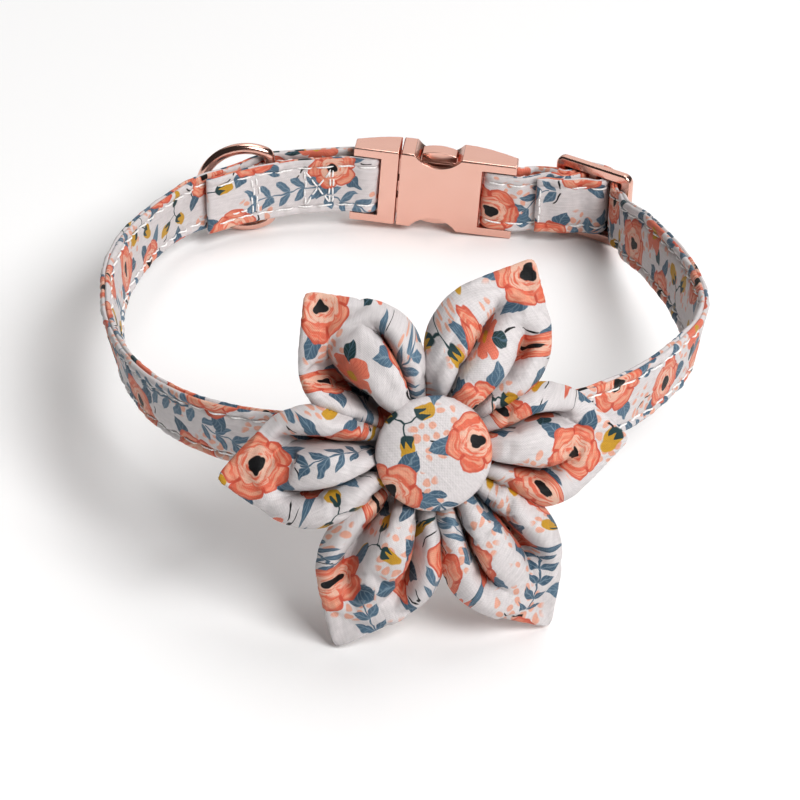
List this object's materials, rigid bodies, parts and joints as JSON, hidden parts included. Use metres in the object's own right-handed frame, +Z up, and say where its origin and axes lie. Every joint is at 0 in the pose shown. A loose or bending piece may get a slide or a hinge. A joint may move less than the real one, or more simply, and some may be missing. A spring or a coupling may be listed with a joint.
{
  "type": "dog collar",
  "caption": "Small dog collar in floral printed cotton, buckled, with a rose-gold metal side-release buckle, D-ring, tri-glide slider and a gathered fabric flower.",
  "frame": {"origin": "centre of the collar's footprint, on the surface that it stands on", "axes": "+Z up, +Y from the flower at the front to the buckle at the back, +X towards the slider side"},
  "size_m": [0.1349, 0.1715, 0.0755],
  "materials": {
    "printed_cotton": "plain-weave cotton with a small scattered flower print, matt",
    "rose_gold": "rose-gold plated, satin polished",
    "felt": "white felt and elastic",
    "thread": "white polyester sewing thread"
  },
  "bodies": {
    "collar": {"strap": "printed_cotton", "buckle_plug": "rose_gold", "buckle_socket": "rose_gold", "slider": "rose_gold", "petal_1": "printed_cotton", "petal_2": "printed_cotton", "petal_3": "printed_cotton", "petal_4": "printed_cotton", "petal_5": "printed_cotton", "petal_6": "printed_cotton", "flower_button": "printed_cotton", "flower_backing": "felt"},
    "d_ring": {"d_ring": "rose_gold"}
  },
  "joints": [
    {"name": "d_ring_swivel", "type": "hinge", "parent": "collar", "child": "d_ring", "pos_m": [-0.032, 0.0795, 0.01205], "axis": [0, 0, -1], "range_deg": [-8, 155]}
  ]
}
